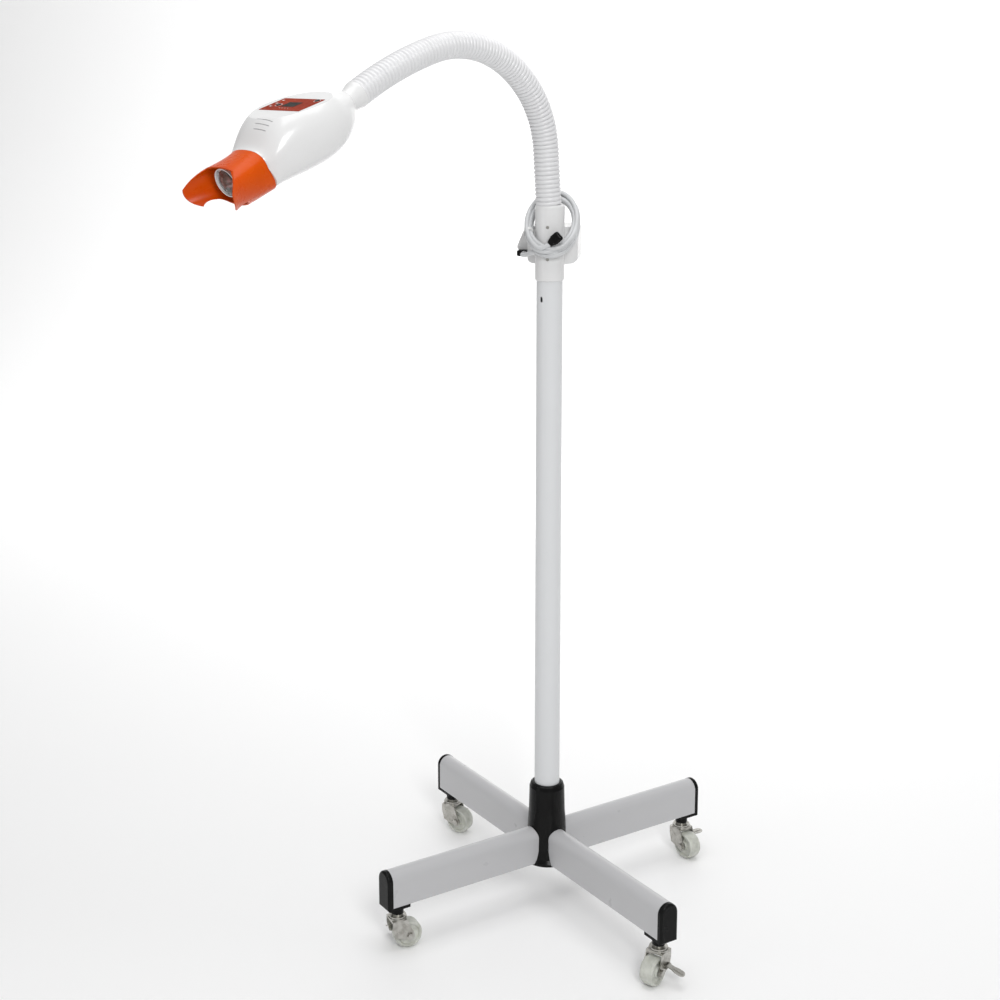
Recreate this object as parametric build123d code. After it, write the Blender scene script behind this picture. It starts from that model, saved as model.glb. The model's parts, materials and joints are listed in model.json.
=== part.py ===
from build123d import *
import os
from math import cos, degrees, pi, radians, sin, sqrt, tan

# Mobile dental curing and whitening light on a four-castor stand.
#
# Millimetres, +Z up. The origin is on the floor under the pole's axis. The four arms lie at 45 degrees
# to X and Y, the power housing faces -Y, and the neck leans over towards NECK_AZIMUTH.

os.makedirs("parts", exist_ok=True)

UP = Vector(0, 0, 1)
FIT_GAP = 0.1           # radial clearance of a fixed fit
RUN_GAP = 0.06          # radial clearance of a running fit

# Stand
POLE_R = 19.0
POLE_WALL = 1.6
POLE_Z = (80.0, 1030.0)
SLOT_AZIMUTH = -119.5
SLOT_SIZE = (4.5, 8.6)
SLOT_Z = 945.3
ARM_AZIMUTHS = {"front_right": -45, "rear_right": 45, "rear_left": 135, "front_left": -135}
ARM_W = 30.0
ARM_H = 54.0
ARM_WALL = 1.6
ARM_BOTTOM = 72.0
ARM_START = 22.0
ARM_END = 285.0
HUB_BOTTOM = 69.0
HUB_TOP = 195.0
CAP_T = 8.0
CAP_LIP = 5.0
CAP_LIP_LENGTH = 29.0

# Castors
STEM_R = 270.0
STEM_RADIUS = 4.0
STEM_TOP = 92.0
WHEEL_R = 21.0
WHEEL_W = 22.0
AXLE_R = 3.0
TRAIL = 15.0
TRAIL_AZIMUTHS = {"front_right": -115, "rear_right": -42, "rear_left": -20, "front_left": 36}
CROWN_Z = (46.0, 50.0)
RACE_Z = (50.3, 55.0)
BOSS_Z = 56.0
LEG_GAP = 1.0
LEG_T = 1.8
BRAKE_SLOPES = {"front_right": -15, "rear_right": 0, "rear_left": -20, "front_left": -35}
BRAKE_PIN_X = (-3.0, 6.0)
BRAKE_PIN_Z = 27.0
BRAKE_PIN_OUT = 16.6
BRAKE_PIN_R = 1.2
BRAKE_LENGTH = 27.0
BRAKE_END_R = 6.5
BRAKE_T = 1.5

# Power housing on the pole's top
HOUSING_R = 21.2
HOUSING_Z = (972.0, 1081.0)
BOX_HALF_W = 37.0
BOX_Y = (22.0, 60.0)
BOX_Z = (994.0, 1048.0)
BOX_CORNER_R = 8.0
BOX_WALL = 2.2
COVER_T = 3.0
COVER_SCREWS = ((-31.5, 999.5), (31.5, 999.5), (-31.5, 1042.5), (31.5, 1042.5))
SWITCH_Z = 1011.0
SWITCH_W = 13.0
SWITCH_H = 19.0
FRONT_SCREW_Z = (1004.0, 1050.0)
GLAND_POS = (-45.5, 44.0, 1009.0)

# Gooseneck: a straight foot that leans a little, then arcs of (radius, degrees), all towards NECK_AZIMUTH
NECK_AZIMUTH = -122.0
NECK_LEAN = 4.7
NECK_SEAT_Z = 1045.0
NECK_FOOT = 78.0
NECK_ARCS = ((145.0, 35.5), (192.0, 63.5), (570.0, 14.6))
NECK_R = 18.5
JOINT_COUNT = 12
BALL_R = 14.0
SOCKET_GAP = 0.4
NECK_BORE = 7.0

# Lamp head, in its own frame: t forward along the head, l to its left, n up out of its top
HEAD_PITCH = 23.3
HEAD_START = 20.5
# Across it, the head is a squared ellipse; each section is (t, half width, top, bottom)
OVAL_POWER = 2.5
OVAL_POINTS = 20
SECTIONS = (
    (0.0, 14.6, 14.0, 14.6),
    (9.0, 25.0, 20.0, 21.0),
    (30.0, 42.5, 29.0, 27.0),
    (62.0, 58.0, 48.0, 36.0),
    (98.0, 60.0, 52.0, 38.0),
    (136.0, 51.0, 44.0, 35.0),
    (156.0, 44.2, 30.0, 34.0),
    (172.0, 34.0, 21.5, 37.5),
)
SHADE_SECTIONS = (
    (160.0, 38.0, 25.0, 37.5),
    (176.0, 33.5, 21.0, 37.5),
    (198.0, 34.0, 20.5, 36.5),
    (222.0, 40.0, 21.5, 33.0),
    (248.0, 51.0, 24.0, 31.0),
)
SHELL_T = 2.4
PANEL_T0 = 82.0
PANEL_N0 = 37.0
PANEL_TILT = 7.8
PANEL_SIZE = (45.0, 76.0)
PANEL_THICK = 1.0
BELLY_N = -30.0
VENT_T = 135.5
VENT_L = 10.0
VENT_PITCH = 6.0
VENT_COUNT = 3
VENT_W = 1.0
# The mouth is cut square above and slanted back below: corners of the cut as (t, n)
MOUTH_T = 172.0
MOUTH_BEND_N = -2.0
MOUTH_FOOT = (163.0, -37.0)
SHADE_GAP = 0.3
# The flange inside the mouth carries a collar that the shade slides on: half width, top, bottom
COLLAR_OVAL = (31.3, 18.4, 34.0)
COLLAR_T = (166.0, 178.0)
SHADE_TIP = 244.0
SHADE_T = 1.8
BELLY_SCREWS = ((62.0, 14.0), (62.0, -14.0), (110.0, 15.0), (110.0, -15.0))
LENS_T = 211.0
LENS_N = -1.5
LENS_R = 16.5


def polar(radius, azimuth, z=0.0):
    """The point at a radius and azimuth round the pole."""
    return Vector(radius * cos(radians(azimuth)), radius * sin(radians(azimuth)), z)


def save(name, *solids):
    """Write one node, made of one solid or of a group of alike solids."""
    group = []
    for item in solids:
        group.extend(item.solids())
    shape = group[0] if len(group) == 1 else Compound(children=group)
    shape.label = name
    export_step(shape, f"parts/{name}.step")


def turned(points, plane=Plane.XZ):
    """The solid of revolution round the plane's Y direction of a closed outline of (radius, height)."""
    with BuildPart() as part:
        with BuildSketch(plane):
            with BuildLine():
                Polyline(*points, close=True)
            make_face()
        revolve(axis=Axis(plane.origin, plane.y_dir))
    return part.part


def rod(radius, start, end, bore=0.0):
    """A round bar, or a tube, from one point to another."""
    axis = end - start
    with BuildPart() as part:
        with BuildSketch(Plane(start, z_dir=axis.normalized())):
            Circle(radius)
            if bore:
                Circle(bore, mode=Mode.SUBTRACT)
        extrude(amount=axis.length)
    return part.part


def upright(azimuth, radius=0.0, z=0.0):
    """A plane whose normal points outward along an azimuth; its X is level, its Y is up."""
    outward = polar(1, azimuth)
    return Plane(polar(radius, azimuth, z), x_dir=UP.cross(outward), z_dir=outward)


# --------------------------------------------------------------------------- stand
def arm_outline(plane, grow, foot=0.0):
    """The arm's section: flat sides and foot, half-round top. grow offsets it outward."""
    half = ARM_W / 2
    with BuildSketch(plane) as sketch:
        with BuildLine():
            left = Line((-half - grow, -grow - foot), (-half - grow, ARM_H - half))
            arch = ThreePointArc(left @ 1, (0, ARM_H + grow), (half + grow, ARM_H - half))
            Polyline(arch @ 1, (half + grow, -grow - foot), left @ 0)
        make_face()
    return sketch.sketch


def arm_bar(azimuth, start, end, grow, foot=0.0):
    """A bar of the arm's section between two radii."""
    return extrude(arm_outline(upright(azimuth, start, ARM_BOTTOM), grow, foot), amount=end - start)


def base_arm(azimuth):
    bar = arm_bar(azimuth, ARM_START, ARM_END, 0.0) - arm_bar(azimuth, ARM_START, ARM_END, -ARM_WALL)
    foot = polar(STEM_R, azimuth)
    return bar - rod(STEM_RADIUS + 1.0, foot + UP * (ARM_BOTTOM - 1), foot + UP * (ARM_BOTTOM + 4))


def base_hub():
    """The moulded hub: a turned body with a pocket for each arm and a socket for the pole."""
    outline = (
        (0, HUB_BOTTOM), (36, HUB_BOTTOM), (36, HUB_BOTTOM + 4), (33, HUB_BOTTOM + 9), (30, HUB_BOTTOM + 22),
        (29.5, 118), (29, 130), (27.6, 150), (26.7, HUB_TOP - 7), (24.7, HUB_TOP - 1.5), (22, HUB_TOP),
        (0, HUB_TOP),
    )
    hub = turned(outline)
    for azimuth in ARM_AZIMUTHS.values():
        hub -= arm_bar(azimuth, ARM_START - 0.3, 60.0, FIT_GAP)
    return hub - rod(POLE_R + FIT_GAP, Vector(0, 0, POLE_Z[0]), Vector(0, 0, HUB_TOP + 1))


def arm_cap(azimuth):
    """The end plug: a rounded face plate, a spigot in the arm and a lip with the castor's socket under it."""
    plate = arm_bar(azimuth, ARM_END, ARM_END + CAP_T, 0.3, CAP_LIP - 0.3)
    rim = plate.faces().sort_by(Axis((0, 0, 0), polar(1, azimuth)))[-1].edges()
    plate = fillet(rim, 3.5)
    spigot = arm_bar(azimuth, ARM_END - 12.0, ARM_END, -ARM_WALL - FIT_GAP)
    lip_plane = upright(azimuth, ARM_END - CAP_LIP_LENGTH, ARM_BOTTOM - CAP_LIP / 2)
    lip = extrude(lip_plane * Rectangle(ARM_W, CAP_LIP), amount=CAP_LIP_LENGTH)
    foot = polar(STEM_R, azimuth)
    boss = rod(9.5, foot + UP * BOSS_Z, foot + UP * (ARM_BOTTOM - CAP_LIP))
    hole = rod(STEM_RADIUS + FIT_GAP, foot + UP * (BOSS_Z - 1), foot + UP * (STEM_TOP + 2))
    return plate + spigot + lip + boss - hole


def pole():
    tube = rod(POLE_R, Vector(0, 0, POLE_Z[0]), Vector(0, 0, POLE_Z[1]), POLE_R - POLE_WALL)
    slot_plane = upright(SLOT_AZIMUTH, POLE_R - 5, SLOT_Z)
    slot = extrude(slot_plane * SlotOverall(SLOT_SIZE[1], SLOT_SIZE[0] - 0.01, rotation=90), amount=10)
    return tube - slot


# --------------------------------------------------------------------------- castors
def castor_plane(name):
    """The wheel's own plane: X is the way it trails, Y is up, and the normal is the axle."""
    return Plane(polar(STEM_R, ARM_AZIMUTHS[name]), x_dir=polar(1, TRAIL_AZIMUTHS[name]),
                 z_dir=polar(1, TRAIL_AZIMUTHS[name] - 90))


def plate_on(plane, offset, thickness, *sketches):
    """A flat plate of the wheel's plane, set off along the axle."""
    moved = plane.offset(offset)
    shape = extrude(moved * sketches[0], amount=thickness, dir=moved.z_dir)
    for extra in sketches[1:]:
        shape += extrude(moved * extra, amount=thickness, dir=moved.z_dir)
    return shape


def castor_stem(azimuth):
    """The fixed half of the swivel: threaded stem and upper race."""
    foot = polar(STEM_R, azimuth)
    stem = rod(STEM_RADIUS, foot + UP * RACE_Z[0], foot + UP * STEM_TOP)
    race = rod(13.0, foot + UP * RACE_Z[0], foot + UP * 52.6)
    return stem + race + rod(8.5, foot + UP * 52.0, foot + UP * RACE_Z[1])


def castor_fork(name):
    """Pressed fork: crown, lower race and two legs, with the axle bolt held between the legs."""
    plane = castor_plane(name)
    foot = plane.origin
    crown = rod(14.0, foot + UP * (CROWN_Z[0] + 1.6), foot + UP * CROWN_Z[1])
    half = WHEEL_W / 2 + LEG_GAP
    bridge_top = CROWN_Z[0] + 1.7
    bridge = Polygon((-12, 44.4), (11, 44.4), (11, bridge_top), (-12, bridge_top), align=None)
    fork = crown + plate_on(plane, -half - LEG_T, 2 * (half + LEG_T), bridge) + brake_lugs(name)
    leg_outline = Polygon((-12, 47), (11, 47), (TRAIL + 7, WHEEL_R), (TRAIL - 7, WHEEL_R - 5), (-8, 21),
                          (-12, 36), align=None)
    leg_end = Pos(TRAIL, WHEEL_R) * Circle(7)
    for side in (-half - LEG_T, half):
        fork += plate_on(plane, side, LEG_T, leg_outline, leg_end)
    hole = Pos(TRAIL, WHEEL_R) * Circle(AXLE_R + 0.02)
    fork -= plate_on(plane, -half - LEG_T - 1, 2 * (half + LEG_T) + 2, hole)
    tread_room = Pos(TRAIL, WHEEL_R) * Circle(WHEEL_R + 1.5)
    fork -= plate_on(plane, -half, 2 * half, tread_room)
    shank = Pos(TRAIL, WHEEL_R) * Circle(AXLE_R)
    axle = plate_on(plane, -half - LEG_T - 0.1, 2 * (half + LEG_T) + 0.2, shank)
    head = Pos(TRAIL, WHEEL_R) * RegularPolygon(5.0, 6)
    axle += plate_on(plane, half + LEG_T + 0.05, 3.0, head)
    axle += plate_on(plane, -half - LEG_T - 3.05, 3.0, head)
    return fork, axle


def castor_wheel(name):
    """Nylon wheel: rounded tread, dished faces and a proud hub round a plain bore."""
    plane = castor_plane(name)
    w = WHEEL_W / 2
    bore = AXLE_R + RUN_GAP
    points = (
        (bore, -w), (8.0, -w), (9.0, -w + 3.5), (15.0, -w + 3.5), (17.0, -w + 0.8), (19.3, -w + 0.8),
        (WHEEL_R, -w + 4), (WHEEL_R, w - 4),
        (19.3, w - 0.8), (17.0, w - 0.8), (15.0, w - 3.5), (9.0, w - 3.5), (8.0, w), (bore, w),
    )
    centre = plane.origin + plane.x_dir * TRAIL + UP * WHEEL_R
    return turned(points, Plane(centre, x_dir=plane.x_dir, z_dir=plane.x_dir.cross(plane.z_dir)))


def brake_frame(name, slope):
    """The brake pin's plane: X runs along the pin, Z stands off the tab, which points out along Y."""
    plane = castor_plane(name)
    outward = plane.z_dir * -1
    tilt = radians(slope)
    along_tab = outward * cos(tilt) + UP * sin(tilt)
    origin = plane.origin + outward * BRAKE_PIN_OUT + UP * BRAKE_PIN_Z
    return Plane(origin, x_dir=plane.x_dir, z_dir=plane.x_dir.cross(along_tab))


def pin_rod(frame, radius, low, high):
    """A round bar along the brake pin's axis, between two places on it."""
    start, end = frame.from_local_coords(Vector(low, 0, 0)), frame.from_local_coords(Vector(high, 0, 0))
    return rod(radius, start, end)


def brake_lugs(name):
    """Two lugs on the fork's outer face with the pin between them."""
    frame = brake_frame(name, 0)
    reach = BRAKE_PIN_OUT - (WHEEL_W / 2 + LEG_GAP + LEG_T)
    low, high = BRAKE_PIN_X
    lugs = pin_rod(frame, BRAKE_PIN_R, low - 1.9, high + 1.9)
    for x in (low - 1.1, high + 1.1):
        lugs += frame * Pos(x, -reach / 2, 0) * Box(1.6, reach + 0.2, 4.4)
        lugs += pin_rod(frame, 2.2, x - 0.8, x + 0.8)
    return lugs


def brake_lever(name):
    """Pressed tab that turns on the fork's pin; the foot pushes its rounded end down or up."""
    frame = brake_frame(name, BRAKE_SLOPES[name])
    low, high = BRAKE_PIN_X
    barrel_r = BRAKE_PIN_R + RUN_GAP + 1.1
    barrel = pin_rod(frame, barrel_r, low, high)
    middle = (low + high) / 2
    end_y = BRAKE_LENGTH - BRAKE_END_R
    left, right = middle - BRAKE_END_R, middle + BRAKE_END_R
    outline = Polygon((low, 0), (high, 0), (high, 8), (right, 15), (right, end_y), (left, end_y), (left, 15),
                      (low, 8), align=None)
    outline += Pos(middle, end_y) * Circle(BRAKE_END_R)
    tab = extrude(frame.offset(barrel_r - BRAKE_T) * outline, amount=BRAKE_T, dir=frame.z_dir)
    rib = frame * Pos(middle, 17, barrel_r) * Box(3.0, 14, 1.4)
    return barrel + tab + rib - pin_rod(frame, BRAKE_PIN_R + RUN_GAP, low - 1, high + 1)


# --------------------------------------------------------------------------- power housing
def box_outline(shrink):
    """The housing's plan: straight back, sides drawn in towards the round front."""
    half = BOX_HALF_W - shrink
    back = BOX_Y[1]
    with BuildSketch() as sketch:
        with BuildLine():
            front = HOUSING_R - shrink - 1.5
            Polyline((-half, back), (-half, BOX_Y[0]), (-front, 4), (front, 4), (half, BOX_Y[0]),
                     (half, back), close=True)
        make_face()
        fillet(sketch.vertices().group_by(Axis.Y)[1], 12 - shrink)
    return sketch.sketch


def box_face(shrink):
    """The housing's outline seen from the back."""
    width, height = 2 * (BOX_HALF_W - shrink), BOX_Z[1] - BOX_Z[0] - 2 * shrink
    return Plane.XZ * Pos(0, sum(BOX_Z) / 2) * RectangleRounded(width, height, BOX_CORNER_R - shrink)


def box_solid(shrink):
    """The power box, drawn in by shrink on every side but the back."""
    height = BOX_Z[1] - BOX_Z[0] - 2 * shrink
    block_up = extrude(Pos(0, 0, BOX_Z[0] + shrink) * box_outline(shrink), amount=height)
    return block_up & extrude(box_face(shrink), amount=100, both=True)


def neck_socket_axis(z):
    """A point of the leaning neck's axis at a height."""
    return NECK_OUT * ((z - NECK_SEAT_Z) * tan(radians(NECK_LEAN))) + UP * z


def housing_body():
    """One moulding: the collar on the pole, the neck's socket above it and the power box behind."""
    low, high = HOUSING_Z
    r = HOUSING_R
    solid = turned(((0, low), (r - 1, low), (r, low + 1), (r, high - 3), (r - 0.9, high - 0.9), (r - 3, high),
                    (0, high)))
    room = box_solid(BOX_WALL) - rod(r, Vector(0, 0, low), Vector(0, 0, high))
    inlet_face = Polygon((-34, 1010.4), (-52, 1010.4), (-53.5, 1013), (-53.5, 1016), (-41, 1046), (-34, 1046),
                         align=None)
    inlet = extrude(Plane.XZ.offset(-44) * inlet_face, amount=9, both=True)
    body = solid + box_solid(0) + inlet - room
    body -= rod(POLE_R + FIT_GAP, Vector(0, 0, low - 1), Vector(0, 0, POLE_Z[1] + 0.2))
    body -= rod(8, Vector(0, 0, POLE_Z[1]), Vector(0, 0, NECK_SEAT_Z + 1))
    body -= rod(16.0 + FIT_GAP, neck_socket_axis(NECK_SEAT_Z), neck_socket_axis(high + 3))
    body -= rod(4, Vector(0, 0, 1037), Vector(0, 40, 1037))
    for z in FRONT_SCREW_Z:
        body -= rod(2.3, Vector(0, -HOUSING_R - 1, z), Vector(0, -POLE_R - 0.1, z))
    gx, gy, gz = GLAND_POS
    body -= Pos(gx, gy, gz + 2) * Box(10.8, 12.8, 8.4)
    for x, z in COVER_SCREWS:
        body += rod(4, Vector(x, BOX_Y[1] - 14, z), Vector(x, BOX_Y[1], z)) & box_solid(0)
        body -= rod(1.6, Vector(x, BOX_Y[1] - 12, z), Vector(x, BOX_Y[1] + 1, z))
    return body


def back_cover():
    y = BOX_Y[1]
    plate = extrude(Pos(0, y + COVER_T, 0) * box_face(0), amount=COVER_T)
    plate = chamfer(plate.faces().sort_by(Axis.Y)[-1].edges(), 1.2)
    for x, z in COVER_SCREWS:
        plate -= rod(1.8, Vector(x, y - 1, z), Vector(x, y + COVER_T + 1, z))
    plate -= Pos(0, y, SWITCH_Z) * Box(SWITCH_W + 0.2, 20, SWITCH_H + 0.2)
    for k in range(4):
        plate -= Pos(0, y, 1030 + 4 * k) * Box(34, 20, 1.6)
    return plate


def switch_frame():
    """The switch's fixed bezel and can, with its pivot pin across."""
    y = BOX_Y[1]
    frame = Pos(0, y + COVER_T + 0.8, SWITCH_Z) * Box(SWITCH_W + 3, 1.6, SWITCH_H + 3)
    frame += Pos(0, y - 4, SWITCH_Z) * Box(SWITCH_W, 18, SWITCH_H)
    frame -= Pos(0, y + 2, SWITCH_Z) * Box(SWITCH_W - 2.4, 12, SWITCH_H - 2.4)
    pin_end = SWITCH_W / 2 - 1
    return frame + rod(1.0, Vector(-pin_end, y + 1.5, SWITCH_Z), Vector(pin_end, y + 1.5, SWITCH_Z))


def power_switch():
    """The rocker: a shallow V seen from the side, on the pin across its middle."""
    y = BOX_Y[1] + COVER_T
    half = SWITCH_H / 2 - 2.2
    profile = Polygon((y - 1.6, SWITCH_Z - half), (y + 3.4, SWITCH_Z - half), (y + 2.2, SWITCH_Z),
                      (y + 3.4, SWITCH_Z + half), (y - 1.6, SWITCH_Z + half), (y - 3.6, SWITCH_Z), align=None)
    rocker = extrude(Plane.YZ * profile, amount=SWITCH_W / 2 - 1.6, both=True)
    pivot = Vector(0, y - 1.5, SWITCH_Z)
    across = Vector(SWITCH_W, 0, 0)
    return rocker - rod(1.0 + RUN_GAP, pivot - across, pivot + across)


def power_board():
    """Supply board in the box: board, transformer, capacitor and heat sink plate, as one soldered unit."""
    board = Pos(0, 40, 1031) * Box(52, 1.6, 24)
    board += Pos(12, 47, 1032) * Box(20, 13, 18)
    board += rod(5, Vector(-10, 40.5, 1034), Vector(-10, 52, 1034))
    return board + Pos(-14, 45, 1024) * Box(16, 9, 2.5)


def housing_screws():
    front = []
    for z in FRONT_SCREW_Z:
        screw = rod(2.2, Vector(0, -20.6, z), Vector(0, -POLE_R - 0.2, z))
        front.append(screw - Pos(0, -20.9, z) * Box(3.4, 1.0, 0.7))
    back = []
    for x, z in COVER_SCREWS:
        y = BOX_Y[1] + COVER_T
        seat = Vector(x, y, z)
        screw = rod(1.5, Vector(x, y - 12, z), seat) + rod(3.0, seat, Vector(x, y + 1.6, z))
        cross = Pos(x, y + 1.6, z) * Box(4.2, 1.4, 0.8) + Pos(x, y + 1.6, z) * Box(0.8, 1.4, 4.2)
        back.append(screw - cross)
    return front + back


# --------------------------------------------------------------------------- mains cord
CORD_D = 7.0
COIL_CENTRE = Vector(2.5, 5.7, 1052.3)
COIL_TILT = 44.0
COIL_HALF = (34.0, 50.5)
COIL_SECTION = (6.5, 9.5)
TIE_ANGLE = 200.0
LEAD_ROUTE = ((-42.3, 28.5, 1005.7), (-42.3, 18, 1005.7), (-40.5, 5, 1006.5), (-32, -10, 1009),
              (-17, -24.5, 1016.5))
PLUG_START = Vector(4.6, -33.2, 1028.0)
PLUG_END = Vector(20.0, -31.2, 1041.6)


def coil_frame():
    """The coil's plane: X level, Y up and back."""
    back = Vector(0, cos(radians(COIL_TILT)), sin(radians(COIL_TILT)))
    return Plane(COIL_CENTRE, x_dir=Vector(1, 0, 0), z_dir=Vector(1, 0, 0).cross(back))


def cord_coil():
    """One closed ring of the coil's outer shape: thick half-turns of the turns hung round the housing."""
    frame = coil_frame()
    path = frame * Ellipse(*COIL_HALF).wire()
    start = path @ 0
    with BuildSketch(Plane(start, x_dir=(start - COIL_CENTRE).normalized(), z_dir=path % 0)) as section:
        Ellipse(*COIL_SECTION)
    return sweep(section.sketch, path=path)


def corner_radii(points):
    """0.45 of the shorter run over the tangent of half the turn, at each inner point."""
    radii = []
    for before, here, after in zip(points, points[1:], points[2:]):
        run_in, run_out = here - before, after - here
        half_turn = radians(run_in.get_angle(run_out)) / 2
        radii.append(0.45 * min(run_in.length, run_out.length) / tan(half_turn))
    return radii


def cord_lead():
    points = [Vector(*p) for p in LEAD_ROUTE]
    path = FilletPolyline(*points, radius=corner_radii(points))
    with BuildSketch(Plane(path @ 0, z_dir=path % 0)) as section:
        Circle(CORD_D / 2)
    return sweep(section.sketch, path=path)


def cord_gland():
    """Moulded cord grip under the inlet boss; the cord leaves its front face."""
    gx, gy, gz = GLAND_POS
    body = Pos(gx, gy - 4.5, gz - 3.3) * Box(15, 22, 9)
    body = fillet(body.edges().filter_by(Axis.Y), 2.5)
    return body + Pos(gx, gy, gz + 3) * Box(10.6, 12.6, 6)


def cord_plug():
    """Moulded plug with the cap on its pins: it widens from the cord's side and ends round."""
    axis = (PLUG_END - PLUG_START).normalized()
    length = (PLUG_END - PLUG_START).length
    start = Plane(PLUG_START, x_dir=Vector(0, 1, 0), z_dir=axis)
    cap_plane = start.offset(length * 0.4)
    grip = loft([start * RectangleRounded(7.5, 8.5, 3), cap_plane * RectangleRounded(12, 14, 3.5)])
    cap = extrude(cap_plane * RectangleRounded(12.8, 14.8, 4), amount=length * 0.6)
    cap = fillet(cap.faces().sort_by(Axis(PLUG_START, axis))[-1].edges(), 3.5)
    return grip + cap


def cord_tie():
    """Twisted wire tie round the turns on the left of the coil."""
    frame = coil_frame()
    angle = radians(TIE_ANGLE)
    wide, tall = COIL_HALF
    centre = frame.from_local_coords(Vector(wide * cos(angle), tall * sin(angle), 0))
    along = frame.from_local_coords(Vector(-wide * sin(angle), tall * cos(angle), 0)) - COIL_CENTRE
    plane = Plane(centre, x_dir=(centre - COIL_CENTRE).normalized(), z_dir=along.normalized())
    a, b = COIL_SECTION
    return extrude(plane.offset(-2) * (Ellipse(a + 1.1, b + 1.1) - Ellipse(a + 0.3, b + 0.3)), amount=4)


# --------------------------------------------------------------------------- gooseneck
NECK_OUT = polar(1, NECK_AZIMUTH)
NECK_SIDE = UP.cross(NECK_OUT)


def neck_length():
    return NECK_FOOT + sum(radius * radians(turn) for radius, turn in NECK_ARCS)


def neck_at(distance):
    """Point and lean (degrees from upright) of the neck's centreline, a distance from its foot."""
    lean = radians(NECK_LEAN)
    step = min(distance, NECK_FOOT)
    out = (HOUSING_Z[1] - NECK_SEAT_Z) * tan(lean) + step * sin(lean)
    z = HOUSING_Z[1] + step * cos(lean)
    left = distance - step
    for radius, turn in NECK_ARCS:
        arc = min(left, radius * radians(turn))
        end = lean + arc / radius
        out += radius * (cos(lean) - cos(end))
        z += radius * (sin(end) - sin(lean))
        lean = end
        left -= arc
    return NECK_OUT * out + UP * z, degrees(lean)


def neck_plane(distance):
    """A plane across the neck: its normal runs up the neck, its X is the axis that the neck bends about."""
    point, lean = neck_at(distance)
    forward = UP * cos(radians(lean)) + NECK_OUT * sin(radians(lean))
    return Plane(point, x_dir=NECK_SIDE, z_dir=forward)


JOINT_STEP = neck_length() / JOINT_COUNT
JOINT_AT = [JOINT_STEP * (k + 0.5) for k in range(JOINT_COUNT)]


def along(plane, outline):
    """A body turned round the neck's own direction; the outline is (radius, distance along the neck)."""
    return turned(outline, Plane(plane.origin, x_dir=plane.x_dir, z_dir=plane.x_dir.cross(plane.z_dir)))


def turned_with_arc(plane, before, middle, after):
    """The same, for an outline of two chains of corners joined by an arc through a middle point."""
    local = Plane(plane.origin, x_dir=plane.x_dir, z_dir=plane.x_dir.cross(plane.z_dir))
    with BuildPart() as part:
        with BuildSketch(local):
            with BuildLine():
                Polyline(*before)
                ThreePointArc(before[-1], middle, after[0])
                Polyline(*after, before[0])
            make_face()
        revolve(axis=Axis(local.origin, local.y_dir))
    return part.part


def height_on(radius, across):
    """How far along its axis a ball of a radius is met at a distance across."""
    return sqrt(radius ** 2 - across ** 2)


def ball_end(plane, reach):
    """The bored ball of a joint with its stalk and shoulder, reaching back down the neck."""
    stalk, flat = 9.8, 8.5
    before = ((NECK_BORE, -reach), (NECK_R, -reach), (NECK_R, -13.5), (NECK_R - 1.5, -12), (stalk, -11.4),
              (stalk, -height_on(BALL_R, stalk)))
    after = ((height_on(BALL_R, flat), flat), (NECK_BORE, flat))
    return turned_with_arc(plane, before, (BALL_R, 0), after)


def socket_end(plane, reach):
    """The bored skirt that holds a ball, reaching on up the neck."""
    inside = BALL_R + SOCKET_GAP
    before = ((NECK_R - 1, -6), (NECK_R, -5), (NECK_R, reach), (NECK_BORE, reach),
              (NECK_BORE, height_on(inside, NECK_BORE)))
    after = ((height_on(inside, 6), -6),)
    return turned_with_arc(plane, before, (inside, 0), after)


def mitre_plane(near, far):
    """Where the axes of two joints cross, with a normal halfway between them."""
    gap = far.origin - near.origin
    turn = near.z_dir.cross(far.z_dir).dot(NECK_SIDE)
    if turn < 1e-4:
        return Plane((near.origin + far.origin) / 2, x_dir=NECK_SIDE, z_dir=near.z_dir)
    reach = gap.cross(far.z_dir).dot(NECK_SIDE) / turn
    return Plane(near.origin + near.z_dir * reach, x_dir=NECK_SIDE, z_dir=near.z_dir + far.z_dir)


def neck_segment(index):
    """A socket and a ball on two short tubes that meet in a mitre."""
    near, far = neck_plane(JOINT_AT[index]), neck_plane(JOINT_AT[index + 1])
    mitre = mitre_plane(near, far)
    lower = split(socket_end(near, 40.0), bisect_by=mitre, keep=Keep.BOTTOM)
    upper = split(ball_end(far, 40.0), bisect_by=mitre, keep=Keep.TOP)
    return lower + upper


def neck_base():
    """The ferrule pressed into the housing, with the first ball."""
    first = neck_plane(JOINT_AT[0])
    seat = (HOUSING_Z[1] - NECK_SEAT_Z) / cos(radians(NECK_LEAN))
    foot = -JOINT_AT[0]
    low, high = foot - seat + 0.4, foot + 3.4
    ferrule = along(first, ((0, low), (16.0, low), (16.0, high), (0, high)))
    bore = rod(NECK_BORE, first.origin - first.z_dir * 70, first.origin)
    return ferrule - bore + ball_end(first, JOINT_AT[0] - 2.6)


# --------------------------------------------------------------------------- lamp head
def head_plane():
    """The head's frame at the end of the collar: X forward, Y to the head's left, Z out of its top."""
    end, lean = neck_at(neck_length())
    forward = UP * cos(radians(lean)) + NECK_OUT * sin(radians(lean))
    pitch = radians(HEAD_PITCH)
    ahead = NECK_OUT * cos(pitch) - UP * sin(pitch)
    top = NECK_OUT * sin(pitch) + UP * cos(pitch)
    return Plane(end + forward * HEAD_START, x_dir=ahead, z_dir=top)


HEAD = head_plane()


def head_point(t, l, n):
    return HEAD.from_local_coords(Vector(t, l, n))


def across_head(t):
    """A plane across the head: its X is level, its Y is out of the head's top."""
    return Plane(head_point(t, 0, 0), x_dir=HEAD.y_dir * -1, z_dir=HEAD.x_dir * -1)


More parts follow.
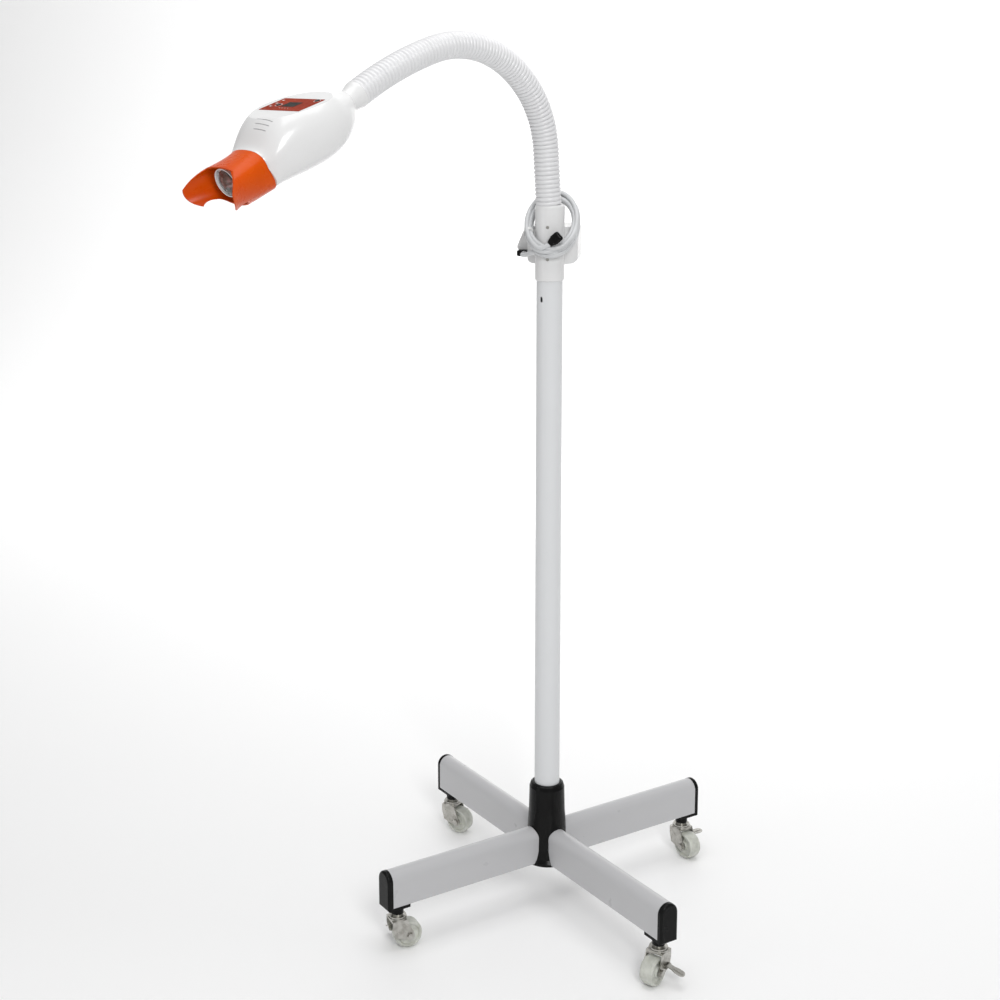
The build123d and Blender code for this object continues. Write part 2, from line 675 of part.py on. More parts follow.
def oval(t, half, top, bottom):
    """An egg-shaped face across the head: a squared ellipse with its own height above and below."""
    def squared(value):
        return abs(value) ** (2 / OVAL_POWER) * (1 if value > 0 else -1)

    corners = []
    for k in range(OVAL_POINTS):
        angle = 2 * pi * (k + 0.5) / OVAL_POINTS
        height = top if sin(angle) > 0 else bottom
        corners.append((half * squared(cos(angle)), height * squared(sin(angle))))
    with BuildSketch(across_head(t)) as sketch:
        with BuildLine():
            Spline(*corners, periodic=True)
        make_face()
    return sketch.sketch


def head_body(shrink):
    """The head's egg, each section drawn in by shrink."""
    return loft([oval(t, *[size - shrink for size in sizes]) for t, *sizes in SECTIONS])


def shade_body(shrink):
    """The shade's flared outside, each section drawn in by shrink."""
    return loft([oval(t, *[size - shrink for size in sizes]) for t, *sizes in SHADE_SECTIONS])


def panel_plane():
    """The flat on the head's top: X forward, Z out of the panel."""
    tilt = radians(PANEL_TILT)
    ahead = HEAD.x_dir * cos(tilt) + HEAD.z_dir * sin(tilt)
    return Plane(head_point(PANEL_T0, 0, PANEL_N0), x_dir=ahead, z_dir=ahead.cross(HEAD.y_dir))


PANEL = panel_plane()


def block(plane, x, y, z, size):
    """A box centred in a plane's own coordinates."""
    return plane * Pos(x, y, z) * Box(*size)


BUTTON_R = 3.2
BUTTON_SPOTS = ((3.0, -21.0), (-17.0, 29.0))
DISPLAY_SIZE = (17.0, 25.0)


def side_plane():
    """The head's middle plane seen from its right: X forward, Y up, so that an outline is (t, n)."""
    return Plane(HEAD.origin, x_dir=HEAD.x_dir, z_dir=HEAD.y_dir * -1)


def beyond_mouth(ahead):
    """Everything in front of the mouth's cut, moved ahead."""
    foot_t, foot_n = MOUTH_FOOT
    outline = Polygon((MOUTH_T + ahead, 90), (MOUTH_T + ahead, MOUTH_BEND_N), (foot_t + ahead, foot_n),
                      (foot_t + ahead, -90), (MOUTH_T + 120, -90), (MOUTH_T + 120, 90), align=None)
    return extrude(side_plane() * outline, amount=100, both=True)


def head_shells():
    """The upper shell and the belly cover, split along a flat seam, with the panel's flat and the vents."""
    outer = head_body(0.0)
    inner = head_body(SHELL_T)
    above_flat = block(PANEL, 0, 0, 30, (110, 140, 60))
    under_flat = block(PANEL, 0, 0, 30 - SHELL_T, (110, 140, 60))
    shell = (outer - above_flat) - (inner - under_flat) - beyond_mouth(0.0)
    for t in sorted({t for t, _ in BELLY_SCREWS}):
        shell += (inner & block(HEAD, t, 0, -21, (7, 140, 14)))
    shell -= rod(12, head_point(-5, 0, 0), head_point(12, 0, 0))
    cover_zone = block(HEAD, 88, 0, BELLY_N - 30, (116, 120, 60))
    cover_gap = block(HEAD, 88, 0, BELLY_N - 29.9, (116.4, 120, 60))
    cover = shell & cover_zone
    shell -= cover_gap
    for t, l in BELLY_SCREWS:
        cover -= rod(3.0, head_point(t, l, -60), head_point(t, l, 1.8 - belly_depth(t, l)))
        cover -= rod(1.6, head_point(t, l, -60), head_point(t, l, -20))
        shell -= rod(1.45, head_point(t, l, -60), head_point(t, l, -19))
    shell -= block(PANEL, 0, 0, 0, (PANEL_SIZE[0] + 0.3, PANEL_SIZE[1] + 0.3, 2 * PANEL_THICK))
    for x, y in BUTTON_SPOTS:
        shell -= rod(BUTTON_R + 0.35, panel_point(x, y, -8), panel_point(x, y, 2))
    shell -= block(PANEL, 0, 0, -2, (DISPLAY_SIZE[0] + 0.4, DISPLAY_SIZE[1] + 0.4, 12))
    for k in range(VENT_COUNT):
        shell -= block(HEAD, VENT_T + VENT_PITCH * k, VENT_L, 36, (VENT_W, 28 - 3 * k, 34))
    return shell, cover


def panel_point(x, y, z):
    return PANEL.from_local_coords(Vector(x, y, z))


def control_panel():
    film = block(PANEL, 0, 0, -PANEL_THICK / 2 + 0.2, (PANEL_SIZE[0], PANEL_SIZE[1], PANEL_THICK))
    film = fillet(film.edges().filter_by(lambda e: abs((e % 0.5).dot(PANEL.z_dir)) > 0.99), 2)
    for x, y in BUTTON_SPOTS:
        film -= rod(BUTTON_R + 0.3, panel_point(x, y, -8), panel_point(x, y, 2))
    return film - block(PANEL, 0, 0, 0, (DISPLAY_SIZE[0], DISPLAY_SIZE[1], 8))


def display_window():
    return block(PANEL, 0, 0, -1.4, (DISPLAY_SIZE[0] - 0.2, DISPLAY_SIZE[1] - 0.2, 3.4))


def panel_button(spot):
    x, y = spot
    cap = rod(BUTTON_R, panel_point(x, y, -4.6), panel_point(x, y, 1.2))
    rim = cap.faces().sort_by(Axis(PANEL.origin, PANEL.z_dir))[-1].edges()
    return fillet(rim, 0.5) + rod(1.2, panel_point(x, y, -6.0), panel_point(x, y, -4.5))


def control_board():
    board = block(PANEL, 0, 0, -11.5, (44, 64, 1.6))
    board += block(PANEL, 14, 14, -14.0, (10, 14, 3.6))
    return board + block(PANEL, -12, -18, -13.5, (8, 8, 2.6))


def neck_collar():
    """The tapered collar between the neck and the head, with the last socket."""
    last = neck_plane(JOINT_AT[-1])
    reach = JOINT_STEP / 2
    tip = reach + HEAD_START + 0.5
    cone = along(last, ((NECK_BORE, reach), (NECK_R, reach), (14.6, tip), (NECK_BORE, tip)))
    cone -= block(HEAD, 40, 0, 0, (80, 80, 80))
    spigot = rod(11.8, head_point(-0.5, 0, 0), head_point(16, 0, 0), NECK_BORE)
    return socket_end(last, reach) + cone + spigot


def nose_ring():
    """The white nose that carries the lens: an oval flange in the head's mouth and a round snout."""
    flange = (head_body(SHELL_T + 0.35) & block(HEAD, MOUTH_T - 4, 0, 0, (20, 140, 140))) - beyond_mouth(-0.6)
    start, end = COLLAR_T
    collar = extrude(oval(start, *COLLAR_OVAL), amount=start - end)
    flange += collar - extrude(oval(start, *[size - SHADE_T for size in COLLAR_OVAL]), amount=start - end)
    snout = rod(LENS_R + 2.3, head_point(MOUTH_T, 0, LENS_N), head_point(LENS_T + 2.4, 0, LENS_N))
    bore = rod(LENS_R, head_point(MOUTH_T - 20, 0, LENS_N), head_point(LENS_T, 0, LENS_N))
    seat = rod(LENS_R + 1.1, head_point(LENS_T - 3, 0, LENS_N), head_point(LENS_T + 8, 0, LENS_N))
    return flange + snout - bore - seat


def lens():
    rim_r = LENS_R + 1.0
    dome_r = 60.0
    slab = rod(rim_r, head_point(LENS_T - 2.9, 0, LENS_N), head_point(LENS_T + 6, 0, LENS_N))
    return slab & (Pos(*head_point(LENS_T + 2.0 - dome_r, 0, LENS_N)) * Sphere(dome_r))


def led_board():
    """Round board with its lamps in rings, as one soldered unit."""
    board = rod(LENS_R - 0.4, head_point(183, 0, LENS_N), head_point(184.6, 0, LENS_N))
    for radius, count in ((0.0, 1), (6.0, 6), (11.5, 12)):
        for k in range(count):
            angle = 2 * pi * k / count
            spot = (radius * cos(angle), LENS_N + radius * sin(angle))
            board += rod(2.2, head_point(184.5, *spot), head_point(187.5, *spot))
    return board


def reflector():
    """Foil cup between the lamps and the lens."""
    plane = Plane(head_point(0, 0, LENS_N), x_dir=HEAD.y_dir, z_dir=HEAD.x_dir)
    back, front = 188.5, LENS_T - 3.3
    outline = ((LENS_R - 1.2, back), (LENS_R - 0.35, back), (LENS_R - 0.35, front), (LENS_R - 1.2, front),
               (LENS_R - 2.4, 197.0))
    return along(plane, outline)


def heat_sink():
    """Aluminium block behind the lamps, finned towards the fan."""
    sink = rod(LENS_R - 0.3, head_point(156, 0, LENS_N), head_point(182.7, 0, LENS_N))
    for k in range(7):
        sink += block(HEAD, 149, -15 + 5 * k, 0, (16, 1.6, 26))
    return sink


def fan_frame():
    frame = block(HEAD, 128, 0, 0, (10, 42, 42))
    frame -= rod(19.0, head_point(120, 0, 0), head_point(136, 0, 0))
    spokes = block(HEAD, 132.4, 0, 0, (1.2, 42, 3)) + block(HEAD, 132.4, 0, 0, (1.2, 3, 42))
    return frame + spokes + rod(2.0, head_point(125, 0, 0), head_point(132.6, 0, 0))


def fan_rotor():
    hub = rod(8.0, head_point(123.6, 0, 0), head_point(130.6, 0, 0))
    for k in range(7):
        blade = block(HEAD, 127, 12.5, 0, (1.2, 11.4, 6.0))
        blade = blade.rotate(Axis(head_point(127, 0, 0), HEAD.x_dir), 360 / 7 * k)
        hub += blade
    return hub - rod(2.0 + RUN_GAP, head_point(120, 0, 0), head_point(131, 0, 0))


def head_screws():
    """The screws that hold the belly cover, in counterbores."""
    screws = []
    for t, l in BELLY_SCREWS:
        floor = 1.8 - belly_depth(t, l)
        head = rod(2.8, head_point(t, l, floor - 1.6), head_point(t, l, floor))
        cross = block(HEAD, t, l, floor - 1.6, (4.0, 0.8, 1.4))
        cross += block(HEAD, t, l, floor - 1.6, (0.8, 4.0, 1.4))
        screws.append(head + rod(1.35, head_point(t, l, floor), head_point(t, l, -20)) - cross)
    return screws


def section_at(t):
    """Half width, top and bottom of the head at t, straight between the sections."""
    for (t0, *low), (t1, *high) in zip(SECTIONS, SECTIONS[1:]):
        if t0 <= t <= t1:
            k = (t - t0) / (t1 - t0)
            return [a + k * (b - a) for a, b in zip(low, high)]
    return SECTIONS[-1][1:]


def belly_depth(t, l):
    half, _, bottom = section_at(t)
    return bottom * sqrt(1 - (l / half) ** 2)


def light_shade():
    """The orange guard: a sleeve on the mouth's collar, cut back above and below to two cheek wings."""
    sleeve = shade_body(0.0) - shade_body(SHADE_T)
    with BuildSketch(side_plane()) as profile:
        with BuildLine():
            brow = Polyline((150, -60), (150, 40), (216, 40), (216, 17))
            tip = ThreePointArc(brow @ 1, (SHADE_TIP - 12, 9), (SHADE_TIP - 1, 1))
            front = ThreePointArc(tip @ 1, (SHADE_TIP - 0.5, -10), (SHADE_TIP - 9, -24))
            notch = ThreePointArc(front @ 1, (SHADE_TIP - 19, -22), (SHADE_TIP - 28, -24))
            chin = ThreePointArc(notch @ 1, (209, -28), (205, -38))
            Polyline(chin @ 1, (204, -60), (150, -60))
        make_face()
    return sleeve & extrude(profile.sketch, amount=80, both=True) & beyond_mouth(SHADE_GAP)


# --------------------------------------------------------------------------- write every node
def main():
    save("base_hub", base_hub())
    save("pole", pole())
    save("arm_caps", *[arm_cap(a) for a in ARM_AZIMUTHS.values()])
    save("caster_stems", *[castor_stem(a) for a in ARM_AZIMUTHS.values()])
    for name, azimuth in ARM_AZIMUTHS.items():
        save(f"base_arm_{name}", base_arm(azimuth))
        save(f"caster_fork_{name}", *castor_fork(name))
        save(f"caster_wheel_{name}", castor_wheel(name))
        save(f"brake_lever_{name}", brake_lever(name))
    save("housing_body", housing_body())
    save("housing_back_cover", back_cover())
    save("housing_screws", *housing_screws())
    save("switch_frame", switch_frame())
    save("power_switch", power_switch())
    save("power_board", power_board())
    save("cord_gland", cord_gland())
    save("cord_lead", cord_lead())
    save("cord_coil", cord_coil())
    save("cord_plug", cord_plug())
    save("cord_tie", cord_tie())
    save("neck_base", neck_base())
    for k in range(JOINT_COUNT - 1):
        save(f"neck_segment_{k + 1}", neck_segment(k))
    save("neck_collar", neck_collar())
    shell, cover = head_shells()
    save("head_shell", shell)
    save("head_belly_cover", cover)
    save("nose_ring", nose_ring())
    save("light_shade", light_shade())
    save("lens", lens())
    save("led_board", led_board())
    save("reflector", reflector())
    save("heat_sink", heat_sink())
    save("fan_frame", fan_frame())
    save("fan_rotor", fan_rotor())
    save("control_board", control_board())
    save("control_panel", control_panel())
    save("display_window", display_window())
    for k, spot in enumerate(BUTTON_SPOTS):
        save(f"panel_button_{k + 1}", panel_button(spot))
    save("head_screws", *head_screws())


main()
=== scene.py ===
"""Looks of the curing light: cord, corrugated neck, small trim, materials, studio and camera. Metres."""
import json
from math import cos, pi, radians, sin, tan

import bpy
from mathutils import Matrix, Vector


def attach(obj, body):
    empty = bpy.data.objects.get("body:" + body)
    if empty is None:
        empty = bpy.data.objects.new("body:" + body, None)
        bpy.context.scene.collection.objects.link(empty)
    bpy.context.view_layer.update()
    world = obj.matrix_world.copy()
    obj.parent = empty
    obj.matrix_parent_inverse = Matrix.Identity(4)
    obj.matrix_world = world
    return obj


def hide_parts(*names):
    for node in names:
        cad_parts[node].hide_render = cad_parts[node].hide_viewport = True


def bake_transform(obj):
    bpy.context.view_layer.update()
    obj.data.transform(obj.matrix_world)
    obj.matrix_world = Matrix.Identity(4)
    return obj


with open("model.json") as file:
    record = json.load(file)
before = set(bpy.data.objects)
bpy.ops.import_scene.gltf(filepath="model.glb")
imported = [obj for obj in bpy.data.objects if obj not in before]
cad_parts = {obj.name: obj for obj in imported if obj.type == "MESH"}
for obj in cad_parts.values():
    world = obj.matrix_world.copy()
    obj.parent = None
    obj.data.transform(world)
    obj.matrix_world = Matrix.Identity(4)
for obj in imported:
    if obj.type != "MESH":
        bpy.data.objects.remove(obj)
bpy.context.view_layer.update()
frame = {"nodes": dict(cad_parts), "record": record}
EAST = Vector((1, 0, 0))
UP = Vector((0, 0, 1))


# ------------------------------------------------------------------ camera
CAMERA_PLACE = (0.3787, -2.3911, 1.3447)
CAMERA_RIGHT = Vector((0.9683, 0.2492, -0.0144))
CAMERA_UP = Vector((-0.0373, 0.2013, 0.9788))
SENSOR_MM, LENS_MM = 36.0, 60.81
LENS_SHIFT = (0.1131, -0.1296)
FARTHEST_SEEN = 50.0


def make_camera():
    """The studio camera: a little right of the stand's front, level with the top of the neck."""
    data = bpy.data.cameras.new("camera")
    data.sensor_width = SENSOR_MM
    data.lens = LENS_MM
    data.shift_x, data.shift_y = LENS_SHIFT
    data.clip_end = FARTHEST_SEEN
    camera = bpy.data.objects.new("camera", data)
    back = CAMERA_RIGHT.cross(CAMERA_UP).normalized()
    up = back.cross(CAMERA_RIGHT).normalized()
    turn = Matrix((CAMERA_RIGHT.normalized(), up, back)).transposed().to_4x4()
    camera.matrix_world = Matrix.Translation(CAMERA_PLACE) @ turn
    bpy.context.scene.collection.objects.link(camera)
    bpy.context.scene.camera = camera


# ------------------------------------------------------------------ materials
class Paint:
    """A principled material whose roughness, tone and relief come from noise at the object's own scale."""

    def __init__(self, name, colour, roughness, metallic=0.0, coat=0.0, specular=0.5):
        self.material = bpy.data.materials.new(name)
        self.material.use_nodes = True
        self.nodes = self.material.node_tree.nodes
        self.links = self.material.node_tree.links
        self.shader = self.nodes["Principled BSDF"]
        self.place = self.nodes.new("ShaderNodeTexCoord").outputs["Object"]
        self.colour = colour
        self.roughness = roughness
        self.relief = None
        self.set("Base Color", (*colour, 1.0))
        self.set("Roughness", roughness)
        self.set("Metallic", metallic)
        self.set("Coat Weight", coat)
        self.set("Coat Roughness", 0.08)
        self.set("Specular IOR Level", specular)

    def set(self, socket, value):
        """A value that is the same all over the surface."""
        self.shader.inputs[socket].default_value = value

    def noise(self, scale, detail, stretch=(1, 1, 1)):
        """Noise with features about 1/scale metres across."""
        mapping = self.nodes.new("ShaderNodeMapping")
        mapping.inputs["Scale"].default_value = stretch
        self.links.new(self.place, mapping.inputs["Vector"])
        texture = self.nodes.new("ShaderNodeTexNoise")
        texture.inputs["Scale"].default_value = scale
        texture.inputs["Detail"].default_value = detail
        self.links.new(mapping.outputs["Vector"], texture.inputs["Vector"])
        return texture.outputs["Fac"]

    def cells(self, scale):
        """Flat facets about 1/scale metres across."""
        texture = self.nodes.new("ShaderNodeTexVoronoi")
        texture.inputs["Scale"].default_value = scale
        self.links.new(self.place, texture.inputs["Vector"])
        return texture.outputs["Distance"]

    def ramp(self, value, low, high, start=0.3, end=0.7):
        """The value stretched between two colours."""
        ramp = self.nodes.new("ShaderNodeValToRGB")
        ramp.color_ramp.elements[0].position = start
        ramp.color_ramp.elements[1].position = end
        ramp.color_ramp.elements[0].color = (*low, 1.0)
        ramp.color_ramp.elements[1].color = (*high, 1.0)
        self.links.new(value, ramp.inputs["Fac"])
        return ramp.outputs["Color"]

    def vary_roughness(self, scale, spread):
        """Patches up to spread rougher or smoother than the rest."""
        low, high = self.roughness - spread, self.roughness + spread
        grey = self.ramp(self.noise(scale, detail=6.0), (low,) * 3, (high,) * 3)
        self.links.new(grey, self.shader.inputs["Roughness"])

    def vary_colour(self, scale, other, start=0.3, end=0.7):
        """Patches of another colour; start and end set how much there is of each."""
        tone = self.ramp(self.noise(scale, detail=5.0), other, self.colour, start, end)
        self.links.new(tone, self.shader.inputs["Base Color"])

    def bump(self, value, depth):
        """Adds a layer of relief, depth metres high, on top of what is there."""
        bump = self.nodes.new("ShaderNodeBump")
        bump.inputs["Distance"].default_value = depth
        bump.inputs["Strength"].default_value = 1.0
        self.links.new(value, bump.inputs["Height"])
        if self.relief is not None:
            self.links.new(self.relief, bump.inputs["Normal"])
        self.relief = bump.outputs["Normal"]
        self.links.new(self.relief, self.shader.inputs["Normal"])

    def grain(self, scale, depth, detail, stretch=(1, 1, 1)):
        """Rounded relief, depth metres high, with features about 1/scale metres across."""
        self.bump(self.noise(scale, detail, stretch), depth)


def darker(colour, share):
    return tuple(share * c for c in colour)


def gloss_white(name):
    """White moulding with a light polish."""
    colour = (0.72, 0.72, 0.72)
    white = Paint(name, colour, roughness=0.22, coat=0.25)
    white.vary_roughness(scale=35, spread=0.03)
    white.vary_colour(scale=5, other=darker(colour, 0.985), start=0.1, end=0.9)
    white.grain(scale=900, depth=0.00001, detail=2.0)
    white.grain(scale=60, depth=0.00003, detail=2.0)
    return white.material


def enamel(name, colour, roughness):
    """Powder coat with its orange peel."""
    coat = Paint(name, colour, roughness, coat=0.1)
    coat.vary_roughness(scale=25, spread=0.03)
    coat.vary_colour(scale=5, other=darker(colour, 0.98), start=0.1, end=0.9)
    coat.grain(scale=420, depth=0.00003, detail=2.0)
    return coat.material


def black_plastic(name):
    """Black moulding, shiny but with little mirror in it."""
    black = Paint(name, (0.004, 0.004, 0.004), roughness=0.20, specular=0.12)
    black.vary_roughness(scale=40, spread=0.04)
    black.vary_colour(scale=30, other=(0.007, 0.007, 0.007))
    black.grain(scale=1500, depth=0.00001, detail=3.0)
    black.grain(scale=120, depth=0.00002, detail=2.0)
    return black.material


def zinc(name):
    """Plated steel with blooms and drawing marks."""
    steel = Paint(name, (0.50, 0.49, 0.46), roughness=0.34, metallic=1.0)
    steel.vary_roughness(scale=160, spread=0.12)
    steel.vary_colour(scale=120, other=(0.36, 0.35, 0.32), start=0.35, end=0.6)
    steel.grain(scale=700, depth=0.00003, detail=3.0, stretch=(1, 1, 6))
    return steel.material


def nylon(name):
    """Milky grey nylon of the wheels, scuffed in patches."""
    grey = Paint(name, (0.60, 0.61, 0.56), roughness=0.42)
    grey.set("Subsurface Weight", 0.25)
    grey.set("Subsurface Radius", (0.004, 0.004, 0.003))
    grey.vary_roughness(scale=150, spread=0.12)
    grey.vary_colour(scale=90, other=(0.44, 0.45, 0.40), start=0.3, end=0.65)
    grey.grain(scale=600, depth=0.00008, detail=4.0)
    return grey.material


def orange_plastic(name):
    """The light guard's filter plastic."""
    orange = Paint(name, (0.62, 0.078, 0.0004), roughness=0.28, specular=0.14)
    orange.set("Subsurface Weight", 0.08)
    orange.set("Subsurface Radius", (0.006, 0.0012, 0.0002))
    orange.vary_roughness(scale=50, spread=0.04)
    orange.vary_colour(scale=16, other=(0.55, 0.055, 0.0003))
    orange.grain(scale=140, depth=0.00006, detail=2.0)
    return orange.material


def film(name):
    """The printed control film: dark orange, finely textured."""
    orange = Paint(name, (0.30, 0.026, 0.003), roughness=0.5, specular=0.06)
    orange.vary_roughness(scale=300, spread=0.06)
    orange.vary_colour(scale=30, other=(0.23, 0.018, 0.002))
    orange.grain(scale=2600, depth=0.00001, detail=2.0)
    return orange.material


def dark_glass(name):
    """The display's window, unlit."""
    glass = Paint(name, (0.006, 0.006, 0.004), roughness=0.35, specular=0.03)
    glass.vary_roughness(scale=200, spread=0.03)
    glass.grain(scale=80, depth=0.00001, detail=1.0)
    return glass.material


def clear_glass(name):
    """The lens."""
    glass = Paint(name, (0.95, 0.96, 0.97), roughness=0.03)
    glass.set("Transmission Weight", 1.0)
    glass.set("IOR", 1.45)
    glass.grain(scale=60, depth=0.00002, detail=1.0)
    return glass.material


def foil(name):
    """Crumpled reflector foil with a pink cast."""
    metal = Paint(name, (0.86, 0.74, 0.73), roughness=0.3, metallic=1.0)
    metal.vary_colour(scale=180, other=(0.66, 0.46, 0.46))
    metal.bump(metal.cells(scale=230), depth=0.0012)
    metal.grain(scale=500, depth=0.0003, detail=3.0)
    return metal.material


def cord_plastic(name, colour):
    """Flexible sheath of the mains cord, and the tie round it."""
    sheath = Paint(name, colour, roughness=0.38, coat=0.1)
    sheath.vary_roughness(scale=90, spread=0.08)
    sheath.vary_colour(scale=45, other=darker(colour, 0.86))
    sheath.grain(scale=900, depth=0.00004, detail=3.0)
    return sheath.material


def board(name):
    """Circuit board with lighter tracks."""
    green = Paint(name, (0.012, 0.10, 0.030), roughness=0.35)
    green.vary_colour(scale=260, other=(0.03, 0.16, 0.05), start=0.45, end=0.55)
    green.grain(scale=800, depth=0.0001, detail=1.0)
    return green.material


def aluminium(name):
    """Bare extrusion with its drawing lines."""
    metal = Paint(name, (0.72, 0.73, 0.74), roughness=0.32, metallic=1.0)
    metal.vary_roughness(scale=90, spread=0.08)
    metal.grain(scale=500, depth=0.00003, detail=3.0, stretch=(12, 1, 1))
    return metal.material


def make_materials():
    """One material per slot of the record: its recipe, then the recipe's own values."""
    recipes = {
        "white_plastic": (gloss_white,),
        "black_plastic": (black_plastic,),
        "white_enamel": (enamel, (0.68, 0.69, 0.70), 0.33),
        "grey_enamel": (enamel, (0.50, 0.50, 0.51), 0.3),
        "zinc_steel": (zinc,),
        "grey_nylon": (nylon,),
        "orange_plastic": (orange_plastic,),
        "orange_film": (film,),
        "display_black": (dark_glass,),
        "clear_lens": (clear_glass,),
        "board_green": (board,),
        "aluminium": (aluminium,),
        "foil": (foil,),
        "cord_grey": (cord_plastic, (0.60, 0.61, 0.62)),
        "white_hose": (enamel, (0.70, 0.70, 0.71), 0.3),
        "tie_white": (cord_plastic, (0.75, 0.75, 0.74)),
    }
    return {slot: recipe(slot, *values) for slot, (recipe, *values) in recipes.items()}


def finish_piece(piece, slot):
    """Gives a piece the material of one of the record's slots."""
    piece.data.materials.clear()
    piece.data.materials.append(MATERIALS[slot])
    return piece


def paint_frame():
    """The CAD nodes' own materials."""
    for entry in frame["record"]["subparts"]:
        node = frame["nodes"][entry["node"]]
        node.data.materials.clear()
        node.data.materials.append(MATERIALS[entry["material_slot"]])


# ------------------------------------------------------------------ mesh helpers
def new_mesh(name, vertices, faces, smooth):
    mesh = bpy.data.meshes.new(name)
    mesh.from_pydata([tuple(v) for v in vertices], [], faces)
    mesh.validate()
    piece = bpy.data.objects.new(name, mesh)
    bpy.context.scene.collection.objects.link(piece)
    for polygon in mesh.polygons:
        polygon.use_smooth = smooth
    return piece


def tube_mesh(name, rings, sides):
    """A skin over rings; each ring is (centre, direction across, other direction across, radius)."""
    vertices, faces = [], []
    for centre, across, other, radius in rings:
        for k in range(sides):
            angle = 2 * pi * k / sides
            vertices.append(centre + (across * cos(angle) + other * sin(angle)) * radius)
    for row in range(len(rings) - 1):
        for k in range(sides):
            a, b = row * sides + k, row * sides + (k + 1) % sides
            faces.append((a, b, b + sides, a + sides))
    return new_mesh(name, vertices, faces, smooth=True)


def circle(x, y, radius, sides):
    """An outline's points, in a plane's own X and Y."""
    turns = [2 * pi * k / sides for k in range(sides)]
    return [(x + radius * cos(turn), y + radius * sin(turn)) for turn in turns]


def plate_mesh(name, plane, outline, low, high):
    """A flat plate: an outline in a plane's own X and Y, between two heights along its Z."""
    vertices = [plane @ Vector((x, y, z)) for z in (low, high) for x, y in outline]
    n = len(outline)
    faces = [tuple(reversed(range(n))), tuple(range(n, 2 * n))]
    faces += [(k, (k + 1) % n, n + (k + 1) % n, n + k) for k in range(n)]
    return new_mesh(name, vertices, faces, smooth=False)


def ring_mesh(name, plane, centre, radii, low, high, sides):
    """A flat ring between two radii, on a plane as a plate is."""
    inner, outer = radii
    vertices, faces = [], []
    for radius, z in ((inner, low), (outer, low), (outer, high), (inner, high)):
        vertices += [plane @ Vector((x, y, z)) for x, y in circle(*centre, radius, sides)]
    for band in range(4):
        for k in range(sides):
            a, b = band * sides + k, band * sides + (k + 1) % sides
            c, d = (a + sides) % (4 * sides), (b + sides) % (4 * sides)
            faces.append((a, b, d, c))
    return new_mesh(name, vertices, faces, smooth=False)


# ------------------------------------------------------------------ mains cord
# The route is drawn in millimetres. The coil's turns are leaning ovals in two layers, one inside
# the other, and step sideways along the coil's axis.
CORD_D = 0.007
CORD_LEAD = (
    (-42.3, 29.5, 1005.7),
    (-42.3, 18, 1005.7),
    (-40.5, 5, 1006.5),
    (-32, -10, 1009),
    (-17, -24.5, 1016.5),
)
COIL_CENTRE = Vector((2.5, 5.7, 1052.3))
COIL_LEAN = radians(44.0)
COIL_BACK = Vector((0, cos(COIL_LEAN), sin(COIL_LEAN)))
COIL_AXIS = EAST.cross(COIL_BACK)
COIL_HALF_WIDE, COIL_HALF_LONG = 34.0, 50.5
COIL_START = radians(262.0)
COIL_TURNS = 5
TURN_POINTS = 24
COIL_THICK = 14.4       # along the axis, between the first and the last turn
LAYER_OFFSET = 2.9      # of each layer from the oval between them
SWAP_SHARE = 0.14       # of a turn, in which the cord crosses to the other layer
WAVE_IN, WAVE_PHASE = 0.9, 1.7
WAVE_SIDE = 0.8
CORD_END = Vector((4.6, -33.2, 1028.0))
CORD_END_RUN = ((-9.0, -1.0, -5.5), (-1.5, -0.2, -1.2), (1.5, 0.1, 1.2))


def coil_point(angle, inward, sideways):
    """A point of the coil: an angle round it, set off in its plane and along its axis."""
    reach = 1 - inward / (0.5 * (COIL_HALF_WIDE + COIL_HALF_LONG))
    wide = EAST * (COIL_HALF_WIDE * reach * cos(angle))
    long = COIL_BACK * (COIL_HALF_LONG * reach * sin(angle))
    return COIL_CENTRE + wide + long + COIL_AXIS * sideways


def cord_route():
    """The lead's points, then the coil's turns, then the run into the plug. Gives metres."""
    points = [Vector(p) for p in CORD_LEAD]
    total = COIL_TURNS * TURN_POINTS
    for k in range(total):
        turn = k / TURN_POINTS
        layer = int(turn)
        angle = COIL_START + 2 * pi * turn
        side = 1 if layer % 2 else -1
        swap = max(0.0, 1.0 - (turn - layer) / SWAP_SHARE)
        inward = LAYER_OFFSET * side * (1 - 2 * swap if turn > 1 else 1)
        loose = WAVE_IN * sin(2 * angle + WAVE_PHASE * layer)
        sideways = -COIL_THICK / 2 + COIL_THICK * k / total + WAVE_SIDE * sin(3 * angle + layer)
        points.append(coil_point(angle, inward + loose, sideways))
    points += [CORD_END + Vector(step) for step in CORD_END_RUN]
    return [p / 1000 for p in points]


def make_cord():
    route = cord_route()
    curve = bpy.data.curves.new("mains_cord", "CURVE")
    curve.dimensions = "3D"
    curve.bevel_depth = CORD_D / 2
    curve.bevel_resolution = 5
    curve.resolution_u = 8
    curve.use_fill_caps = True
    spline = curve.splines.new("NURBS")
    spline.points.add(len(route) - 1)
    for point, place in zip(spline.points, route):
        point.co = (*place, 1.0)
    spline.order_u = 3
    spline.use_endpoint_u = True
    piece = bpy.data.objects.new("mains_cord", curve)
    bpy.context.scene.collection.objects.link(piece)
    finish_piece(piece, "cord_grey")
    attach(piece, "stand")
    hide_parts("cord_lead", "cord_coil")


